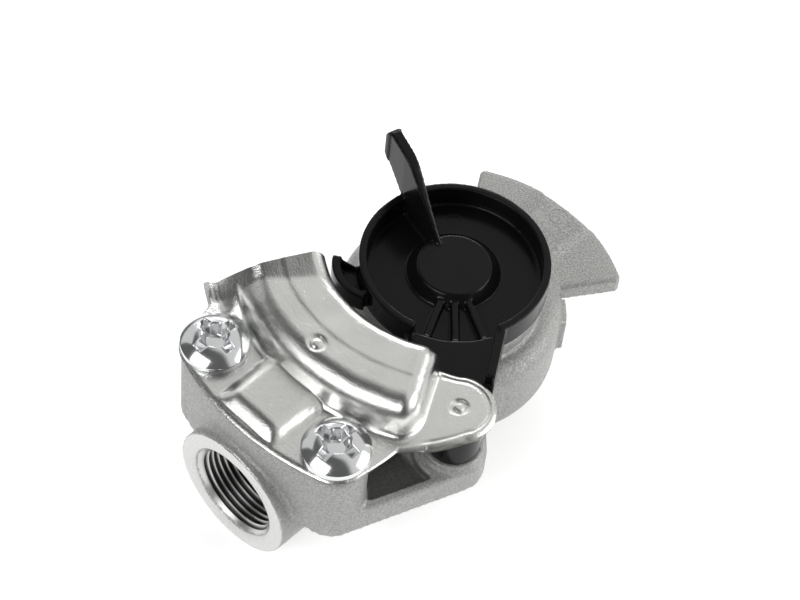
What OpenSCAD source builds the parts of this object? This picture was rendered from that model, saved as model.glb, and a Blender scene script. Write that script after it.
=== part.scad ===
/* [Coupling face] */
// Radius of the seal cup's outer wall
cup_r = 26; // [25:0.5:28]
// Radius of the cup's upper rim, under the lid
cup_rim_r = 20.8; // [20:0.1:21.4]
// Drop from the coupling face to the cup's rim
cup_rim_drop = 1.2; // [0.8:0.1:2]
// Drop from the coupling face to the top of the cup's shoulder
shoulder_drop = 5.4; // [4:0.2:7]
// Radius of the cup's rounded shoulder
shoulder_round = 4.4; // [3:0.2:6]
// Radius of the rounding under the cup
cup_foot_round = 9; // [6:0.5:12]
// Radius of the lead-in at the cup's mouth
cup_mouth_r = 17; // [16:0.1:18]
// Thickness of the pad on the cup's side
pad_t = 1.6; // [1:0.1:2.2]
// Drop from the coupling face to the pad's top
pad_drop = 10.6; // [10:0.2:12]
// Height of the pad
pad_h = 10; // [8:0.5:11]
// Angle from the middle plane to the pad's middle
pad_angle = 46; // [42:1:52]
// Half of the angle that the pad spans
pad_half_angle = 8; // [5:0.5:11]

/* [Locking lug] */
// Outer radius of the lug
lug_r = 41.8; // [40:0.2:44]
// Drop from the coupling face to the lug's top
lug_drop = 10; // [9:0.2:11]
// Thickness of the lug
lug_t = 4.4; // [3.6:0.2:5.2]
// Half of the angle that the lug spans
lug_half_angle = 33; // [28:1:38]
// Radius of the lug's outer corners
lug_corner_r = 1.4; // [0.8:0.2:3]
// Depth of the recess cast into the lug's top
lug_recess = 0.7; // [0.4:0.1:1]
// Half of the width of the recess at its floor
lug_recess_w = 6.2; // [4:0.2:8]
// Width of the recess's sloping sides
lug_recess_slope = 2.2; // [1.4:0.2:3]
// Width of the rib under the lug
lug_rib_w = 7; // [5:0.5:10]

/* [Port] */
// Distance from the seal's axis to the port's face
port_x = 69; // [68:0.5:74]
// Drop from the coupling face to the port's axis
port_drop = 17.1; // [16.5:0.2:19]
// Radius of the port's collar
port_r = 16; // [15:0.5:17]
// Nominal radius of the port's thread
thread_r = 11; // [10:0.5:11.5]
// Pitch of the port's thread
thread_pitch = 1.5; // [1:0.25:2]
// Length of the port's thread
thread_len = 16; // [12:1:18]
// Width of the port's lead-in chamfer
port_chamfer = 1.2; // [0.6:0.2:1.6]
// Radius of the air passage
passage_r = 8.5; // [7:0.5:9]
// Wall of the casting round the air passage
passage_wall = 5; // [4:0.5:6]

/* [Pivot arm] */
// Distance from the seal's axis back to the lid's pivot
pivot_x = 29; // [28:0.5:31]
// Distance from the middle plane to the lid's pivot
pivot_y = 28.7; // [28:0.5:31]
// Drop from the coupling face to the arm's top
slab_drop = 7.9; // [7:0.2:9]
// Thickness of the arm
slab_t = 7; // [6:0.5:8]
// Radius of the arm's end
arm_end_r = 7.7; // [7.2:0.1:8.4]
// Half of the width of the web between the arm's end and the cup
web_w = 7; // [6:0.5:8]
// Depth of the pocket in the arm's top
pocket_depth = 2.4; // [1.6:0.2:3.2]
// Width of the rim along the pocket
pocket_rim = 2.3; // [1.8:0.1:2.8]
// Radius of the raised end round the seat
pocket_end_r = 9; // [8.2:0.2:10]
// Height of the seat under the hub
seat_h = 1.5; // [1:0.1:2]
// Radius of the seat under the hub
seat_r = 6.8; // [6.5:0.1:7]
// Radius at which the casting's left flank meets the cup
flank_r = 22; // [20:0.5:24]
// Radius of the pivot pin
pin_r = 2.5; // [2.2:0.1:2.8]
// Length of the pin that sits in the arm
pin_grip = 7.5; // [5:0.5:8]

/* [Guide plate] */
// Thickness of the sheet
sheet_t = 2.5; // [2:0.1:2.8]
// Distance from the screws to the plate's front edge
front_edge = 7.8; // [7.2:0.1:8.4]
// Room beside the mating lug in the channel
lug_room = 5.5; // [4.5:0.5:7]
// Play above the mating lug in the channel
lug_play = 0.4; // [0.3:0.1:0.8]
// Radius of the plate's inner edge
plate_in_r = 31; // [29.5:0.5:32.5]
// Radius of the crease in the plateau
crease_r = 40.7; // [38:0.5:43]
// Height of the step at the crease
crease_step = 0.3; // [0.2:0.05:0.4]
// Inner radius of the bend along the plateau's inner edge
edge_in_r = 0.3; // [0.2:0.05:0.5]
// Outer radius of the plateau's bends
bend_r = 3.2; // [3:0.1:4]
// Radius of the fillet at the foot of the plateau
fillet_r = 2.5; // [2:0.1:3]
// Outer radius of the bend at the channel's closed end
end_bend_r = 2.9; // [2.8:0.05:3.1]
// Radius of the fillet at the foot of the closed end
end_fillet_r = 2.2; // [1.8:0.1:2.4]
// Angle from the middle plane to the channel's closed end
closed_angle = 29; // [27:0.5:31]
// Angle from the middle plane to where the channel's mouth begins
open_angle = 20; // [19:0.5:21]
// Angle from the middle plane to the plateau's open end
mouth_angle = 30.5; // [29:0.5:32]
// Rise of the plateau at its open end
mouth_rise = 2; // [1.2:0.2:2.6]
// Radial width of the flat foot beside the channel's wall
wing_w = 5.2; // [4.2:0.2:5.6]
// Angle from the middle plane to the wing's outer corner
wing_angle = 35.6; // [34:0.2:36]
// Angle from the middle plane to the wing's edge beside the screw
wing_from = 29; // [27:0.5:31]
// Radius of the ear over the pivot
ear_r = 8.8; // [8.2:0.2:9.4]
// Distance from the right screw to the waist beside the ear
waist_x = 9.5; // [8:0.5:11]
// Depth of the plate's edge at the waist beyond the screw's lobe
waist_drop = 0.9; // [0.5:0.1:1.5]
// Length of the bump in front of the plateau
bump_len = 16; // [13:0.5:17]
// Width of the bump
bump_w = 17; // [14:0.5:20]
// Height of the bump
bump_h = 2.2; // [1.6:0.2:2.2]
// Slope width of the bump's sides
bump_slope = 2.6; // [2:0.2:3.2]
// Radius of the pressed dimples
dimple_r = 2; // [1.6:0.1:2.4]
// Depth of the pressed dimples
dimple_depth = 0.9; // [0.6:0.1:1.2]
// Inset of the casting from the plate's edge
plate_over = 0.6; // [0.4:0.1:1]

/* [Screws] */
// Distance from the seal's axis back to the screws
screw_x = 56.7; // [56:0.2:58]
// Distance from the middle plane to each screw
screw_y = 18.8; // [17.5:0.2:20]
// Nominal radius of the screws
screw_r = 4; // [3.5:0.5:4.5]
// Length of the shank
shank_len = 18; // [14:1:20]
// Radius of the screw's head
head_r = 7.7; // [7.2:0.1:8]
// Height of the head's straight side
head_h = 2.6; // [2.2:0.1:3]
// Height of the head's dome
dome_h = 1.9; // [1.4:0.1:2.4]
// Width of the cross recess
recess_w = 3.6; // [3:0.2:4.4]
// Length of the cross recess
recess_len = 10.6; // [9:0.2:11.4]
// Depth of the cross recess
recess_depth = 2.9; // [2:0.1:3.4]
// Radius of the lobe round each screw
lobe_r = 7.9; // [7.7:0.1:8.4]

/* [Lid] */
// Gap between the coupling face and the closed lid
lid_gap = 0.5; // [0.3:0.1:0.8]
// Outer radius of the dish
dish_r = 21.9; // [21.2:0.1:22.6]
// Wall of the dish
dish_wall = 1.8; // [1.4:0.1:2.2]
// Height of the dish
dish_h = 7.1; // [6:0.1:8]
// Thickness of the dish's floor
floor_t = 1.7; // [1.4:0.1:2]
// Radius of the boss's top
boss_r = 8.5; // [8:0.1:9]
// Radius of the boss's foot
boss_foot_r = 10.8; // [10.2:0.1:11.4]
// Height of the boss
boss_h = 3; // [2.4:0.1:3.4]
// Width of the three ribs
rib_w = 1.5; // [1:0.1:2]
// Angle between neighbouring ribs
rib_angle = 18.5; // [14:0.5:20]
// Drop from the arm's top to the ribs' tops
rib_drop = 0.4; // [0.2:0.1:0.8]
// Thickness of the lid's arm
lid_arm_t = 3.8; // [3.2:0.1:4.4]
// Half of the angle over which the arm leaves the dish
arm_half_angle = 33; // [30:1:36]
// Half of the angle over which the dish opens to the arm
arm_open_angle = 26.5; // [24:0.5:28]
// Radius at which the arm steps up from the dish's floor
arm_step_r = 20.6; // [20.2:0.1:20.8]
// Half of the arm's width at the hub
arm_tip_w = 6.5; // [5:0.1:6.6]
// Height of the ridge along the arm's free edge
arm_ridge_h = 3.1; // [2:0.1:3.2]
// Width of the ridge along the arm's free edge
arm_ridge_w = 2.1; // [1.6:0.1:2.6]
// Room between the ridge's end and the ear
ridge_room = 0.8; // [0.5:0.1:1.2]
// Outer radius of the hub
hub_r = 6.1; // [5.9:0.1:6.4]
// Room under the ear and over the seat for the hub
hub_room = 0.3; // [0.2:0.05:0.4]
// Room over the lid's arm under the ear
arm_room = 1.2; // [1:0.1:1.6]
// Radial clearance of the hub on its pin
pin_clear = 0.05; // [0.02:0.01:0.1]
// Distance from the seal's axis back to the middle of the lip's arc
lip_x = 13; // [12:0.2:14]
// Distance from the middle plane to the middle of the lip's arc
lip_y = 11.9; // [11:0.2:13]
// Outer radius of the lip's arc
lip_r = 10.3; // [9.8:0.1:10.8]
// Width of the lip
lip_w = 2.1; // [1.8:0.1:2.6]
// Height of the lip
lip_h = 5; // [4:0.2:6]
// Angle where the lip begins
lip_from = 122; // [118:1:126]
// Angle where the lip ends
lip_to = 208; // [204:1:212]

/* [Lever] */
// Angle of the lever's upright plane
lever_angle = 75; // [70:1:80]
// Thickness of the lever
lever_t = 2.6; // [2:0.1:3.2]
// Thickness of the lever's inner tip
lever_tip_t = 1; // [0.8:0.1:1.4]
// Height of the lever's inner tip above the boss
lever_tip_h = 0.4; // [0.2:0.1:0.8]
// Radius at which the lever starts on the boss
lever_in_r = 6.5; // [5.5:0.5:7.5]
// Radius of the lever's outer edge
lever_out_r = 30.2; // [29:0.2:32]
// Height of the lever above the dish's rim
lever_h = 14.2; // [12:0.2:16]
// Height of the lever's overhang above the dish's rim
overhang_h = 4.6; // [3.6:0.2:5.4]
// Radius of the lever's upper outer corner
lever_corner_r = 2.2; // [1.6:0.2:3]
// Radius at which the lever reaches its full height
lever_top_r = 20.5; // [19:0.5:22]
// Radius of the bend in the lever's upper edge
lever_bend_r = 8; // [6:0.5:10]
// Rise of the lever's upper edge towards its outer end
lever_rise = 1.3; // [0.8:0.1:2]
// Width of the bead on the lever's outer edge
bead_w = 1.6; // [1.2:0.1:2]
// Thickness that the bead adds on each side
bead_t = 0.35; // [0.25:0.05:0.6]

/* [Seal and spring] */
// Radius of the seal's flange
seal_r = 18.6; // [17.8:0.1:19]
// Thickness of the seal's flange
seal_flange_t = 3; // [2.4:0.2:3.4]
// Radius of the seal's neck
seal_neck_r = 14.4; // [13.6:0.1:15]
// Inner radius of the seal
seal_in_r = 9.6; // [9:0.1:10]
// Height of the seal
seal_h = 8; // [7:0.2:9]
// Radius of the seal's rounded bead
seal_bead_r = 2.2; // [1.8:0.1:2.4]
// Clearance round the seal
seal_clear = 0.15; // [0.1:0.05:0.25]
// Mean radius of the lid's spring
spring_r = 4.3; // [4.2:0.05:4.4]
// Radius of the spring's wire
wire_r = 0.45; // [0.35:0.05:0.5]
// Turns of the spring
spring_turns = 5; // [3:1:6]
// Rise of the spring in one turn
spring_pitch = 1.15; // [1.1:0.05:1.3]
// Clearance round the spring
spring_clear = 0.35; // [0.2:0.05:0.4]
// Length of the spring's two legs
leg_len = 1.6; // [1.2:0.1:2]

/* [Hidden] */
$fn = 64;

// Overlap that joins the shapes of one piece
eps = 0.02;
// Length by which a cut runs past the face it opens
over = 1;
// Gap round shanks and pins that stay in their holes
fit_clear = 0.03;
cast_colour = "#a3a3a0";
zinc_colour = "#d6d6d2";
steel_colour = "#b8babd";
plastic_colour = "#1e1e20";
rubber_colour = "#2a2a2a";

plate_r = norm([screw_x, screw_y]) + front_edge;
pivot = [-pivot_x, -pivot_y];
pivot_angle = atan2(-pivot_y, -pivot_x);
screws = [[-screw_x, screw_y], [-screw_x, -screw_y]];
thread_minor_r = thread_r - thread_pitch * 5 / 8 * cos(30);
belly_r = passage_r + passage_wall;
belly_z = -port_drop - belly_r;
slab_z = -slab_drop - slab_t;
seat_z = -slab_drop + seat_h;

lid_floor_z = lid_gap + floor_t;
lid_floor_mid = lid_gap + floor_t / 2;
lid_rim_z = lid_gap + dish_h;
wall_mid_r = dish_r - dish_wall / 2;
boss_z = lid_floor_z + boss_h;
lid_arm_z = lid_gap + lid_arm_t;
plate_z = lid_arm_z + arm_room;
plate_top = plate_z + sheet_t;
hub_z = seat_z + hub_room;
hub_top = plate_z - hub_room;

plateau_z = lug_drop + lug_t + lug_play;
plateau_top = plateau_z + sheet_t;
wall_r = lug_r + lug_room + sheet_t;
wing_r = wall_r + fillet_r + wing_w;
bend_at = wall_r - bend_r;
edge_bend_r = sheet_t + edge_in_r;
edge_at = plate_in_r + edge_bend_r;
block_in_r = wall_r + fit_clear;
block_lobe_r = lobe_r - plate_over;
// Angles where the ear's rounding starts and ends
ear_from = 44;
ear_to = -124;
// Middle of the base's sheet
plate_mid = plate_z + sheet_t / 2;
// Depth by which bends sink into the base
sink = 0.1;
// Angle the arch runs on behind its closed end, and the mouth into the arch
end_span = 14;
mouth_lap = 1.5;
bend_steps = 5;
// Width and angle left of the flat foot at the wing's corner
wing_lip = 1;
wing_tip = 1.2;
// Trim inside the plate's inner edge
edge_trim = 0.1;
// Width left at the foot of the screw block beside the pocket
pocket_foot = 0.4;

spring_in_r = spring_r - wire_r - spring_clear;
spring_out_r = spring_r + wire_r + spring_clear;
spring_z = seat_z + wire_r + fit_clear;
spring_top_z = spring_z + spring_turns * spring_pitch;
leg_hole_r = wire_r + fit_clear;
wire_sides = 8;
dimple_room = dimple_depth + hub_room;

// Corners where the two outer tangents of two circles touch them
function tangents(p, a, q, b) =
    let (d = q - p, turn = atan2(d[1], d[0]), open = acos((a - b) / norm(d)))
    [p + a * dir(turn + open), q + b * dir(turn + open),
     q + b * dir(turn - open), p + a * dir(turn - open)];

function dir(angle) = [cos(angle), sin(angle)];

// Points of an arc from one angle to another
function arc(centre, r, from, to, steps) =
    [for (i = [0:steps]) centre + r * dir(from + (to - from) * i / steps)];

// Two circles and the straight flanks between them
module link(p, a, q, b) {
    translate(p) circle(a);
    translate(q) circle(b);
    polygon(tangents(p, a - eps, q, b - eps));
}

// Wedge from the origin, wider than any piece
module wedge(from, to, r = 2 * plate_r) {
    middle = (from + to) / 2;
    polygon([[0, 0], r * dir(from), r * dir(middle), r * dir(to)]);
}

module ring_sector(inner, outer, from, to) {
    intersection() {
        difference() {
            circle(outer);
            circle(inner);
        }
        wedge(from, to);
    }
}

module slab_between(z0, z1) {
    translate([0, 0, z0]) linear_extrude(z1 - z0) children();
}

// Body: the cast head with its cup, lug, port, screw block and pivot arm

module cup_profile() {
    translate([0, belly_z + cup_foot_round])
        square([cup_r, -belly_z - cup_foot_round - shoulder_drop - shoulder_round]);
    translate([0, belly_z]) square([cup_r - cup_foot_round, -belly_z - shoulder_drop]);
    translate([0, -shoulder_drop - shoulder_round]) square([cup_r - shoulder_round, shoulder_round]);
    translate([0, -shoulder_drop - eps]) square([cup_rim_r, shoulder_drop - cup_rim_drop + eps]);
    intersection() {
        translate([cup_r - shoulder_round, -shoulder_drop - shoulder_round]) circle(shoulder_round);
        translate([0, -shoulder_drop - shoulder_round]) square([cup_r, shoulder_round]);
    }
    intersection() {
        translate([cup_r - cup_foot_round, belly_z + cup_foot_round]) circle(cup_foot_round);
        translate([0, belly_z]) square([cup_r, cup_foot_round]);
    }
}

module lug_outline() {
    corner = lug_r - lug_corner_r;
    inset = asin(lug_corner_r / corner);
    ring_sector(0, lug_r, -lug_half_angle + inset, lug_half_angle - inset);
    ring_sector(0, corner * cos(inset), -lug_half_angle, lug_half_angle);
    for (side = [-1, 1])
        translate(corner * dir(side * (lug_half_angle - inset))) circle(lug_corner_r);
}

module lug() {
    slab_between(-lug_drop - lug_t, -lug_drop) lug_outline();
    slab_between(-lug_drop - 2 * lug_t, -lug_drop - lug_t + eps)
        translate([0, -lug_rib_w / 2]) square([(cup_r + lug_r) / 2, lug_rib_w]);
}

// Shallow channel with sloping sides across the lug's top
module lug_recess_cut() {
    top = lug_recess_w + 2 * lug_recess_slope;
    difference() {
        rotate([90, 0, 90])
            linear_extrude(lug_r + over)
                polygon([[-lug_recess_w, -lug_drop - lug_recess], [lug_recess_w, -lug_drop - lug_recess],
                         [top, -lug_drop + lug_recess], [-top, -lug_drop + lug_recess]]);
        slab_between(-lug_drop - lug_t, -lug_drop + lug_t) circle(cup_r + sink);
    }
}

module cup_pad() {
    slab_between(-pad_drop - pad_h, -pad_drop)
        ring_sector(cup_r - pad_t, cup_r + pad_t, -pad_angle - pad_half_angle, -pad_angle + pad_half_angle);
}

module block_outline() {
    difference() {
        union() {
            intersection() {
                circle(plate_r - plate_over);
                translate([-plate_r, -screw_y]) square([plate_r, 2 * screw_y]);
            }
            for (at = screws) translate(at) circle(block_lobe_r);
        }
        circle(block_in_r);
    }
}

module slab_outline() {
    link(screws[1], block_lobe_r, pivot, arm_end_r);
    link(screws[0], block_lobe_r, [0, 0], flank_r);
    link(pivot, arm_end_r, [0, 0], web_w);
    polygon([screws[0], screws[1], pivot, [0, 0]]);
}

// Pocket between the screw block and the raised end of the arm
module pocket_outline() {
    corners = tangents(screws[1], block_lobe_r - pocket_rim, pivot, arm_end_r - pocket_rim);
    side = -screw_y - fit_clear - sink;
    difference() {
        polygon([corners[3], corners[2], [pivot[0], side], [screws[1][0], side]]);
        translate(pivot) circle(pocket_end_r);
        translate(screws[1]) circle(block_lobe_r + pocket_foot);
    }
}

module port_lying() {
    translate([0, 0, -port_drop]) rotate([0, -90, 0]) children();
}

module air_passage() {
    port_lying() cylinder(r = passage_r, h = port_x);
    translate([0, 0, -port_drop]) sphere(passage_r);
    slab_between(-port_drop, 0) circle(passage_r);
    port_lying() {
        translate([0, 0, port_x - thread_len]) cylinder(r = thread_minor_r, h = thread_len + over);
        translate([0, 0, port_x - port_chamfer - thread_r + thread_minor_r])
            cylinder(r1 = thread_minor_r, r2 = thread_r + port_chamfer,
                     h = thread_r + port_chamfer - thread_minor_r);
    }
}

module seal_chamber() {
    flange_top = -seal_h + seal_flange_t + seal_clear;
    slab_between(-seal_h - seal_clear, flange_top) circle(seal_r + seal_clear);
    slab_between(flange_top - eps, 0) circle(seal_neck_r + seal_clear);
    slab_between(-cup_rim_drop - (cup_mouth_r - seal_neck_r - seal_clear), -cup_rim_drop + eps)
        circle(seal_neck_r + seal_clear + eps);
    translate([0, 0, -cup_rim_drop - (cup_mouth_r - seal_neck_r)])
        cylinder(r1 = seal_neck_r, r2 = cup_mouth_r + eps, h = cup_mouth_r - seal_neck_r + eps);
}

module body() {
    color(cast_colour)
        difference() {
            union() {
                rotate_extrude() cup_profile();
                lug();
                cup_pad();
                port_lying() cylinder(r = belly_r, h = port_x - eps);
                port_lying() translate([0, 0, block_in_r]) cylinder(r = port_r, h = port_x - block_in_r);
                slab_between(slab_z, plate_z) block_outline();
                slab_between(slab_z, -slab_drop) slab_outline();
                slab_between(-slab_drop - eps, seat_z) translate(pivot) circle(seat_r);
            }
            lug_recess_cut();
            slab_between(-slab_drop - pocket_depth, -slab_drop + over) pocket_outline();
            air_passage();
            seal_chamber();
            for (at = screws)
                slab_between(plate_top - shank_len - over, plate_z + over)
                    translate(at) circle(screw_r + fit_clear);
            slab_between(seat_z - pin_grip, seat_z + over) translate(pivot) circle(pin_r + fit_clear);
            slab_between(seat_z - leg_len, seat_z + over)
                translate(pivot + [spring_r, 0]) circle(leg_hole_r);
        }
}

// Guide plate: one pressed sheet

// Line of the sheet's top where it drops from the plateau into the base
function drop_line(bend, fillet) = concat(
    arc([0, plateau_top - bend], bend, 90, 0, bend_steps),
    arc([bend + fillet, plate_top - sink + fillet], fillet, 180, 270, bend_steps));

// Section of the arch before it is hollowed
module arch_section() {
    polygon(concat(
        [[plate_in_r, plate_mid]],
        arc([edge_at, plateau_top - edge_bend_r], edge_bend_r, 180, 90, bend_steps),
        [for (q = drop_line(bend_r, fillet_r)) q + [bend_at, 0]],
        [[wall_r + fillet_r, plate_mid]]));
}

// Outline of the closed end, seen along the radius it stands on
module end_section() {
    rise = 2 * end_bend_r * tan(45 / bend_steps);
    line = drop_line(end_bend_r, end_fillet_r);
    polygon(concat(
        [[-plate_r, plateau_top + rise], [-2 * end_bend_r, plateau_top + rise]],
        [for (i = [1:2 * bend_steps + 1]) line[i]],
        [[end_bend_r + end_fillet_r, plate_z - over], [-plate_r, plate_z - over]]));
}

// Solid that runs along the closed end's radius with the given section
module along_end() {
    rotate(180 + closed_angle) rotate([90, 0, 90]) linear_extrude(plate_r) children();
}

module arch() {
    intersection() {
        rotate(180 - open_angle)
            rotate_extrude(angle = open_angle + closed_angle + end_span) arch_section();
        along_end() end_section();
    }
}

// Space for the mating lug under the arch
module arch_hollow() {
    inner_bend_r = bend_r - sheet_t;
    intersection() {
        rotate(180 - 2 * open_angle)
            rotate_extrude(angle = 2 * open_angle + closed_angle + end_span)
                polygon(concat(
                    [[plate_in_r / 2, plate_z - over], [plate_in_r / 2, plateau_z]],
                    arc([bend_at, plateau_z - inner_bend_r], inner_bend_r, 90, 0, bend_steps),
                    [[wall_r - sheet_t, plate_z - over]]));
        along_end()
            polygon([[-plate_r, plate_z - 2 * over], [-plate_r, plateau_top],
                     [end_bend_r - sheet_t, plateau_top], [end_bend_r - sheet_t, plate_z - 2 * over]]);
    }
}

// Lines along the mouth's sheet: radius, height and angle where the arch passes over, then at the open end.
// The plateau rises, and the wall leans out until it lies down in the wing.
function mouth_top() =
    let (top = plateau_top - sink,
         fillet_z = plate_top - sink + fillet_r,
         half = cos(45),
         in_bend = bend_r - sink,
         out_fillet = fillet_r + sink)
    [[plate_in_r + sink, plateau_z + 2 * sink, open_angle, 0, mouth_rise, mouth_angle],
     [plate_in_r + 3 * sheet_t / 8, top - sheet_t / 4, open_angle, 0, mouth_rise, mouth_angle],
     [edge_at, top, open_angle + 0.5, 0, mouth_rise, mouth_angle],
     [bend_at, top, open_angle + 6, 0.3, 0.6 * mouth_rise, mouth_angle + 0.5],
     [bend_at + in_bend * half, top - in_bend * (1 - half), open_angle + 6,
      0.7, 0.4 * mouth_rise, mouth_angle + 1],
     [wall_r - sink, top - in_bend, open_angle + 6, 1.3, 0.2 * mouth_rise, mouth_angle + 1.5],
     [wall_r - sink, fillet_z, open_angle + 5, 4.4, 0.2 * mouth_rise, wing_angle - 1.6],
     [wall_r + fillet_r - out_fillet * half, fillet_z - out_fillet * half, open_angle + 4,
      5.2, 0.6, wing_angle - 0.8],
     [wall_r + fillet_r, plate_top - sink, open_angle + 4, 4.2, 0.5, wing_angle - 0.4],
     [wing_r - sink, plate_top - sink, open_angle + 4, 0, 0, wing_angle]];

function mouth_under() =
    let (low = plateau_z + sink,
         half = cos(45),
         thick = sheet_t - 2 * sink,
         fillet_z = plate_top - sink + fillet_r,
         in_bend = bend_r - sheet_t,
         out_fillet = fillet_r + thick)
    [[plate_in_r + sink, low, open_angle, 0, mouth_rise, mouth_angle],
     [plate_in_r + 3 * sheet_t / 8, low, open_angle, 0, mouth_rise, mouth_angle],
     [edge_at, low, open_angle + 0.5, 0, mouth_rise, mouth_angle],
     [bend_at, low, open_angle + 6, 0.3, 0.6 * mouth_rise, mouth_angle + 0.5],
     [bend_at + in_bend * half, low - in_bend * (1 - half), open_angle + 6,
      0.6, 0.4 * mouth_rise, mouth_angle + 1],
     [wall_r - thick, low - in_bend, open_angle + 6, 1.7, -0.4 * mouth_rise, mouth_angle + 1.5],
     [wall_r - thick, fillet_z, open_angle + 5, 5, -0.4 * mouth_rise, wing_angle - 1.6],
     [wall_r + fillet_r - out_fillet * half, fillet_z - out_fillet * half, open_angle + 4,
      5.4, 0.4, wing_angle - 0.8],
     [wall_r + fillet_r, plate_z + sink, open_angle + 4, 3.6, 0.4, wing_angle - 0.4],
     [wing_r - sink, plate_z + sink, open_angle + 4, 0, 0, wing_angle]];

// Point of one of the mouth's lines: before the bend at a negative share, at the open end at one
function mouth_point(q, share) =
    let (out = max(0, share),
         lean = out * out,
         angle = share < 0 ? open_angle - mouth_lap : q[2] + (q[5] - q[2]) * out,
         at = (q[0] + q[3] * lean) * dir(180 - angle))
    [at[0], at[1], q[1] + q[4] * (0.4 * out + 0.6 * lean)];

// Open end: the sheet's own surface, rising and splaying out for the mating lug to enter
module channel_mouth() {
    top = mouth_top();
    under = mouth_under();
    count = len(top);
    ring = 2 * count;
    shares = [-1, 0, 0.35, 0.7, 1];
    last = len(shares) - 1;
    points = [for (share = shares) each concat(
        [for (q = top) mouth_point(q, share)],
        [for (k = [count - 1:-1:0]) mouth_point(under[k], share)])];
    cap = [for (k = [0:count - 2]) each
        [[k, ring - 2 - k, k + 1], [k, ring - 1 - k, ring - 2 - k]]];
    sides = [for (i = [0:last - 1]) for (k = [0:ring - 1]) each
        let (a = i * ring + k, b = i * ring + (k + 1) % ring)
        [[a, b + ring, a + ring], [a, b, b + ring]]];
    back = [for (t = cap) [for (j = [2:-1:0]) t[j] + last * ring]];
    polyhedron(points, concat(cap, sides, back), convexity = 6);
}

// Edge of the base, from the wing along the channel's foot to the ear and back round the screws
function base_edge() =
    let (end = 180 + closed_angle,
         spread = atan2(screw_y, screw_x))
    concat(
        [for (share = [0:0.25:1])
            (wing_r - wing_lip - share * (wing_r - wing_lip - wall_r))
            * dir(180 - wing_angle + wing_tip + share * (wing_angle - wing_tip - open_angle - 3))],
        arc([0, 0], bend_at, 180 - open_angle, end, 20),
        [(plate_in_r - sheet_t) * dir(end)],
        arc(pivot, ear_r, ear_from, ear_to, 16),
        [screws[1] + [waist_x, -lobe_r - waist_drop]],
        arc(screws[1], lobe_r, 270, 180 + spread, 8),
        arc([0, 0], plate_r, 180 + spread, 180 - spread, 12),
        arc(screws[0], lobe_r, 180 - spread, 90, 8),
        arc([0, 0], wing_r, 180 - wing_from, 180 - wing_angle + wing_tip, 4));

// Bump with four sloping sides, standing on the given height
module bump(z) {
    low = bump_w / 2;
    top = low - bump_slope;
    start = -wall_r - bump_len;
    end = -wall_r + sheet_t / 2;
    intersection() {
        rotate([90, 0, 90])
            translate([0, 0, -plate_r])
                linear_extrude(plate_r)
                    polygon([[-low, z - sheet_t], [low, z - sheet_t], [low, z],
                             [top, z + bump_h], [-top, z + bump_h], [-low, z]]);
        rotate([90, 0, 0])
            translate([0, 0, -bump_w])
                linear_extrude(2 * bump_w)
                    polygon([[start, z - sheet_t], [start, z], [start + bump_slope, z + bump_h],
                             [end, z + bump_h], [end, z - sheet_t]]);
    }
}

// Shallow step between the plateau's inner and outer band
module crease() {
    slab_between(plateau_top - crease_step, plateau_top + over)
        ring_sector(crease_r, wall_r, 180 - open_angle, 180 + closed_angle);
}

module dimple(at, top) {
    ball = (dimple_r * dimple_r + dimple_depth * dimple_depth) / (2 * dimple_depth);
    translate([at[0], at[1], top - dimple_depth + ball]) sphere(ball);
}

module guide_plate() {
    color(zinc_colour)
        difference() {
            union() {
                arch();
                channel_mouth();
                slab_between(plate_z, plate_top) polygon(base_edge());
                bump(plate_top);
            }
            arch_hollow();
            bump(plate_z);
            slab_between(plate_z - over, plateau_top + over) circle(plate_in_r - edge_trim);
            crease();
            for (at = screws)
                slab_between(plate_z - over, plate_top + over) translate(at) circle(screw_r + fit_clear);
            dimple([-bend_at + dimple_r, 0], plateau_top);
            dimple(pivot, plate_top);
        }
}

// Screws

module cross_recess() {
    for (turn = [0, 90])
        rotate(turn) translate([-recess_len / 2, -recess_w / 2]) square([recess_len, recess_w]);
}

module screw(at) {
    dome_r = (head_r * head_r + dome_h * dome_h) / (2 * dome_h);
    head_top = plate_top + head_h + dome_h;
    color(zinc_colour)
        difference() {
            translate([at[0], at[1], 0]) {
                slab_between(plate_top - shank_len, plate_top + eps) circle(screw_r);
                intersection() {
                    slab_between(plate_top, head_top) circle(head_r);
                    translate([0, 0, head_top - dome_r]) sphere(dome_r);
                }
            }
            slab_between(head_top - recess_depth, head_top + over) translate(at) cross_recess();
        }
}

module screw_left() screw(screws[0]);
module screw_right() screw(screws[1]);

// Lid: dish, boss, ribs, arm, hub, lip and lever in one moulding

module floor_profile() {
    translate([0, lid_gap]) square([wall_mid_r, floor_t]);
    polygon([[0, lid_floor_mid], [boss_foot_r, lid_floor_mid], [boss_foot_r, lid_floor_z],
             [boss_r, boss_z], [0, boss_z]]);
}

// Rim of the dish, open where the arm leaves
module rim() {
    rotate(pivot_angle + arm_open_angle)
        rotate_extrude(angle = 360 - 2 * arm_open_angle)
            translate([dish_r - dish_wall, lid_gap]) square([dish_wall, dish_h]);
}

module boss_hollow() {
    translate([0, 0, lid_gap - eps])
        cylinder(r1 = boss_foot_r - floor_t, r2 = boss_r - floor_t, h = boss_h + eps);
}

module arm_outline() {
    side = arm_tip_w * dir(pivot_angle + 90);
    polygon([wall_mid_r * dir(pivot_angle - arm_half_angle), pivot - side,
             pivot + side, wall_mid_r * dir(pivot_angle + arm_half_angle),
             arm_step_r / 2 * dir(pivot_angle)]);
}

// Ridge along the arm's free edge, from the rim to just short of the ear
module arm_ridge() {
    from = wall_mid_r * dir(pivot_angle + arm_half_angle);
    to = pivot + arm_tip_w * dir(pivot_angle + 90);
    run = to - from;
    back = ear_r + ridge_room;
    length = norm(run) - sqrt(back * back - pow(arm_tip_w - arm_ridge_w, 2));
    translate(from) rotate(atan2(run[1], run[0]))
        translate([0, -arm_ridge_w - sink]) square([length, arm_ridge_w]);
}

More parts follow.
